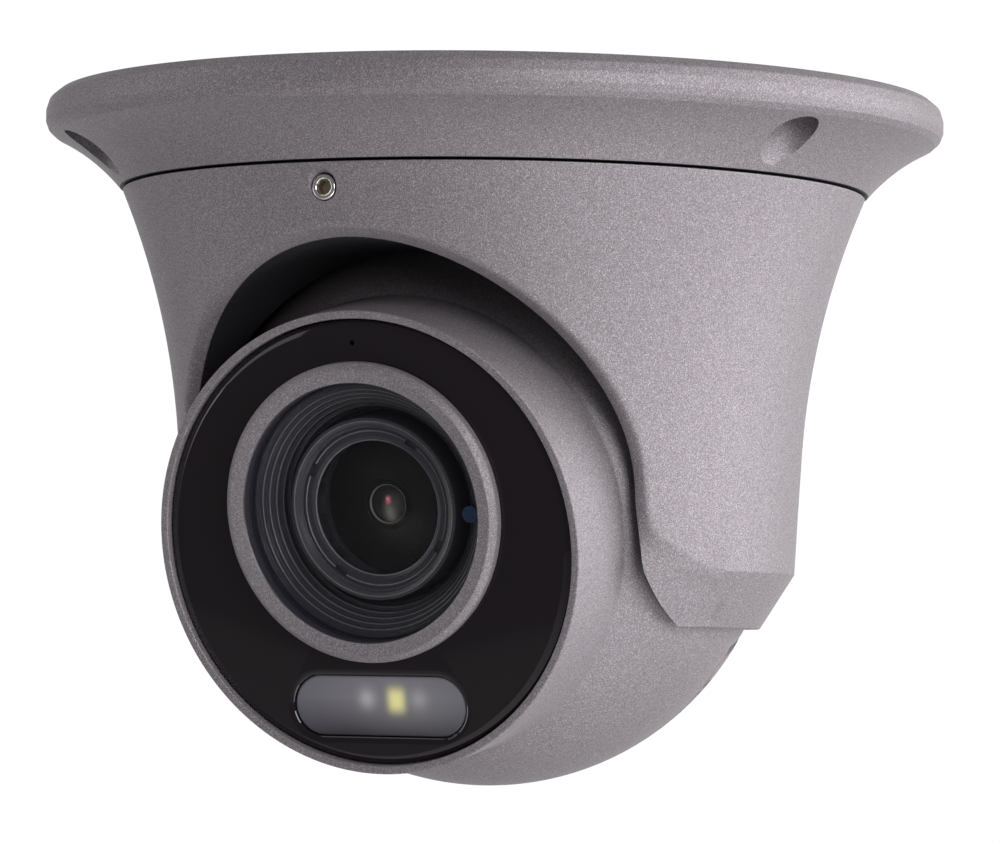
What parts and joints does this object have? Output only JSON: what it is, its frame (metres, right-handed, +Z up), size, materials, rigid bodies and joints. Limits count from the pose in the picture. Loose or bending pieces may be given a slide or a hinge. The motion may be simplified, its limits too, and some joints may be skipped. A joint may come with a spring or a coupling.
{
  "type": "turret dome camera",
  "caption": "Ceiling-mounted turret camera: flanged base, panning bell cover with a front arch, and an eyeball head that tilts and rolls",
  "frame": {"origin": "centre of the three ceiling bolts, on the flat mounting face", "axes": "+Z up into the ceiling, -Y towards the front of the arch, +X to the right as seen from behind the camera"},
  "size_m": [0.145, 0.145, 0.1104],
  "materials": {
    "graphite_paint": "fine-grained graphite metallic powder coat",
    "foam_black": "soft closed-cell foam",
    "rubber_black": "smooth rubber",
    "steel_screw": "zinc-plated steel",
    "steel_sheet": "rolled spring steel",
    "black_plastic": "fine matt",
    "black_lens_metal": "anodised black, satin",
    "dark_glass": "polished, back-printed black",
    "clear_glass": "coated clear",
    "lens_glass": "multi-coated",
    "frosted_window": "frosted",
    "reflector_grey": "satin",
    "circuit_board": "solder mask, satin",
    "led_yellow": "phosphor",
    "led_clear": "moulded clear",
    "sensor_blue": "tinted",
    "brass_post": "turned",
    "motor_can": "drawn can",
    "filter_pink": "dichroic",
    "coil_copper": "enamelled wire",
    "heat_aluminium": "extruded",
    "chip_black": "moulded",
    "button_red": "moulded"
  },
  "bodies": {
    "base": {"base_flange": "graphite_paint", "base_gasket": "foam_black", "cable_grommet": "rubber_black"},
    "cover": {"trim_cover": "graphite_paint", "pan_seal": "rubber_black", "lock_screw": "steel_screw", "ball_retainer": "black_plastic", "retainer_screws": "steel_screw", "friction_ring": "rubber_black", "pivot_pins": "steel_screw"},
    "yoke": {"tilt_yoke": "steel_sheet"},
    "eyeball": {"eyeball_shell": "graphite_paint", "hub_clip": "steel_sheet", "cable_gland": "rubber_black", "front_frame": "black_plastic", "frame_screws": "steel_screw", "glass_gasket": "rubber_black", "face_glass": "dark_glass", "lens_ring": "graphite_paint", "ring_nut": "black_lens_metal", "lens_window": "clear_glass", "lens_baffle": "black_lens_metal", "led_window": "frosted_window", "led_reflector": "reflector_grey", "led_board": "circuit_board", "white_led": "led_yellow", "ir_leds": "led_clear", "microphone": "brass_post", "light_sensor": "sensor_blue", "lens_body": "black_plastic", "lens_barrel": "black_lens_metal", "lens_retaining_ring": "black_lens_metal", "front_element": "lens_glass", "aperture_stop": "black_lens_metal", "guide_rods": "motor_can", "zoom_motor": "motor_can", "focus_motor": "motor_can", "ir_cut_housing": "black_plastic", "ir_cut_coil": "coil_copper", "image_sensor": "chip_black", "sensor_board": "circuit_board", "lens_screws": "steel_screw", "main_board": "circuit_board", "board_posts": "brass_post", "power_board": "circuit_board", "processor": "chip_black", "heat_sink": "heat_aluminium", "service_board": "circuit_board", "card_socket": "motor_can", "reset_switch": "black_plastic", "service_cover": "graphite_paint", "service_gasket": "rubber_black", "service_screws": "steel_screw"},
    "zoom_group": {"zoom_carriage": "black_plastic", "zoom_lens": "lens_glass"},
    "focus_group": {"focus_carriage": "black_plastic", "focus_lens": "lens_glass"},
    "filter": {"ir_cut_filter": "filter_pink"},
    "reset_key": {"reset_button": "button_red"}
  },
  "joints": [
    {"name": "pan", "type": "hinge", "parent": "base", "child": "cover", "pos_m": [0, 0, 0], "axis": [0, 0, 1], "range_deg": [-175, 175]},
    {"name": "tilt", "type": "hinge", "parent": "cover", "child": "yoke", "pos_m": [0, 0, -0.0643], "axis": [1, 0, 0], "range_deg": [-10, 79]},
    {"name": "roll", "type": "hinge", "parent": "yoke", "child": "eyeball", "pos_m": [0, 0, -0.0643], "axis": [0, -0.9816, -0.1908], "range_deg": [-165, 165]},
    {"name": "zoom", "type": "slide", "parent": "eyeball", "child": "zoom_group", "axis": [0, -0.9816, -0.1908], "range_m": [-0.001, 0.0055]},
    {"name": "focus", "type": "slide", "parent": "eyeball", "child": "focus_group", "axis": [0, -0.9816, -0.1908], "range_m": [-0.0025, 0.0022]},
    {"name": "filter_shift", "type": "slide", "parent": "eyeball", "child": "filter", "axis": [1, 0, 0], "range_m": [0, 0.007]},
    {"name": "reset_press", "type": "slide", "parent": "eyeball", "child": "reset_key", "axis": [-0.7008, -0.4006, 0.5902], "range_m": [0, 0.0004], "stiffness_N_per_m": 2000}
  ]
}
